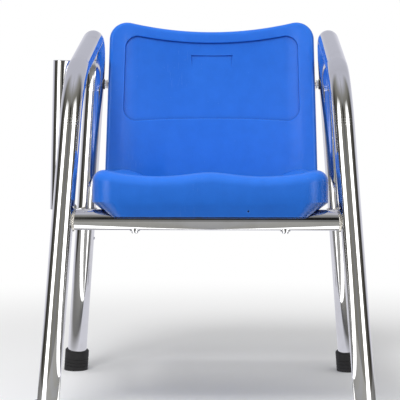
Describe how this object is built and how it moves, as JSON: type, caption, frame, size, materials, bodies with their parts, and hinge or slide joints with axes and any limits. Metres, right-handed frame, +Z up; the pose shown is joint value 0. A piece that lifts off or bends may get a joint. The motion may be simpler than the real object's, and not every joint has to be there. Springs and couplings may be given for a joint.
{
  "type": "student armchair",
  "caption": "Armchair with a bright bent-tube frame, moulded blue seat, tilting moulded back and an outside sleeve for a tablet post.",
  "frame": {"origin": "on the floor, in the middle of the chair's width and depth", "axes": "+Z up, +Y from the front of the chair to its back, +X to the right as seen from in front"},
  "size_m": [0.6028, 0.5822, 0.7019],
  "materials": {
    "polished_tube": "mirror-polished steel tube",
    "polished_plate": "polished flat plate",
    "weld_bead": "dressed and polished weld",
    "bright_fastener": "zinc-bright fastener",
    "insert_brass": "machined brass",
    "blue_plastic": "blue blow-moulded polyethylene, satin gloss",
    "pale_nylon": "natural nylon",
    "black_plastic": "black moulded plastic",
    "black_rubber": "black rubber"
  },
  "bodies": {
    "frame": {"left_side_frame": "polished_tube", "right_side_frame": "polished_tube", "front_seat_rail": "polished_tube", "rear_seat_rail": "polished_tube", "left_side_rail": "polished_tube", "right_side_rail": "polished_tube", "seat_support_rail": "polished_tube", "front_rail_welds": "weld_bead", "rear_rail_welds": "weld_bead", "side_rail_welds": "weld_bead", "support_rail_welds": "weld_bead", "accessory_sleeve": "polished_tube", "sleeve_base_cap": "polished_plate", "sleeve_upper_gusset": "polished_plate", "sleeve_lower_gusset": "polished_plate", "left_rear_leg_rivet": "bright_fastener", "seat_shell": "blue_plastic", "seat_inserts": "insert_brass", "seat_bolts": "bright_fastener", "seat_bolt_washers": "bright_fastener", "back_tilt_bolts": "bright_fastener", "outer_saddle_washers": "black_plastic", "inner_saddle_washers": "black_plastic", "back_tilt_nuts": "bright_fastener", "back_spacer_washers": "pale_nylon", "front_left_foot": "black_rubber", "front_right_foot": "black_rubber", "rear_left_foot": "black_rubber", "rear_right_foot": "black_rubber"},
    "back": {"back_shell": "blue_plastic", "back_bushes": "pale_nylon"}
  },
  "joints": [
    {"name": "back_tilt", "type": "hinge", "parent": "frame", "child": "back", "pos_m": [0, 0.1992, 0.581], "axis": [1, 0, 0], "range_deg": [-5, 5]}
  ]
}
